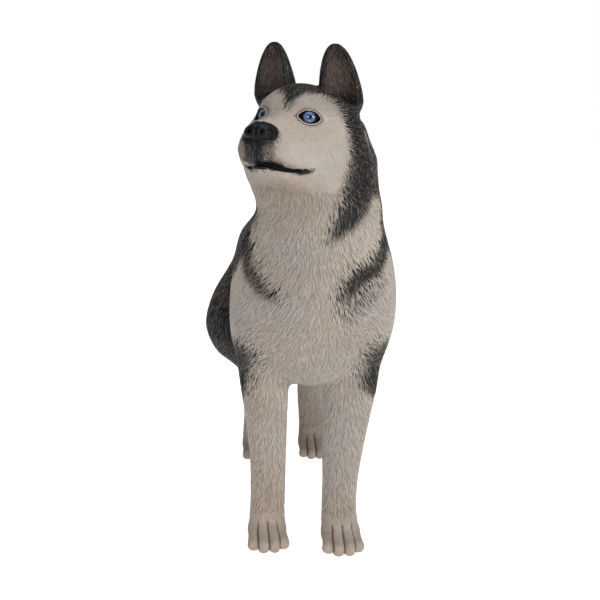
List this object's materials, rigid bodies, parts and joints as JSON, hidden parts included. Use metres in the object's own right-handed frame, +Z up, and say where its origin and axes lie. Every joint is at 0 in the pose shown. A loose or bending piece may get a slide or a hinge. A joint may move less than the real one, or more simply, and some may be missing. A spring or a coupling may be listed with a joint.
{
  "type": "siberian husky statue",
  "caption": "Life-size cast statue of a standing siberian husky, head turned to its right and tail hanging, shown as a still model.",
  "frame": {"origin": "on the floor, under the middle of the statue's outline", "axes": "+Z up, -Y the way the chest faces, +X the dog's left side"},
  "size_m": [0.3096, 0.7697, 0.8647],
  "materials": {
    "coat": "painted carved hair, pale grey-beige with charcoal markings",
    "ears": "charcoal paint, brown in the cups",
    "eyes": "glossy blue iris with a black pupil",
    "nose": "glossy black",
    "tail": "charcoal paint over carved hair",
    "legs": "painted carved hair, pale with a tan wash",
    "paws": "pale paint with brown wash between the toes"
  },
  "bodies": {
    "root": {"torso": "coat", "neck": "coat", "head": "coat", "ear_left": "ears", "ear_right": "ears", "eye_left": "eyes", "eye_right": "eyes", "nose": "nose", "tail": "tail", "fore_left_leg": "legs", "fore_right_leg": "legs", "hind_left_leg": "legs", "hind_right_leg": "legs", "fore_left_paw": "paws", "fore_right_paw": "paws", "hind_left_paw": "paws", "hind_right_paw": "paws"}
  },
  "joints": []
}
